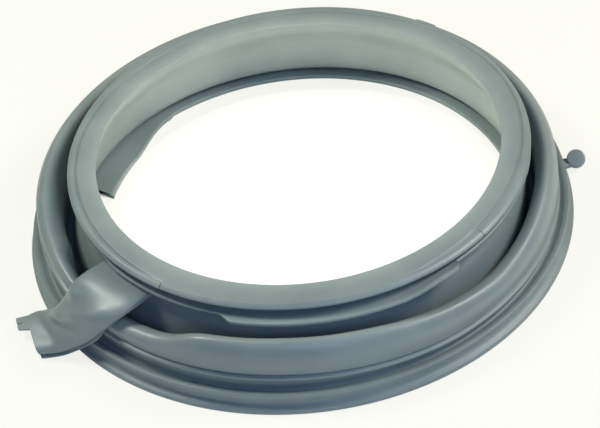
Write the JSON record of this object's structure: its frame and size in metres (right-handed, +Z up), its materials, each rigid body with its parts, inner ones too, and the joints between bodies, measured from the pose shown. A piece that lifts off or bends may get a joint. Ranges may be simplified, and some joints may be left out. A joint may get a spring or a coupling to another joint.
{
  "type": "washing machine door seal",
  "caption": "Grey rubber door seal bellows for a front-loading washing machine, with front ring, roll, tub flange, flat drain spout and grip button.",
  "frame": {"origin": "axis of the tub flange at the level of its flat base, which the seal lies on", "axes": "+Z up along the seal's axis, from the tub flange to the front ring; the spout leaves towards -X and a little towards -Y, and the grip button towards +X"},
  "size_m": [0.4295, 0.4, 0.0679],
  "materials": {
    "rubber": "moulded EPDM, semi-matt, grey"
  },
  "bodies": {
    "root": {"door_seal": "rubber"}
  },
  "joints": []
}
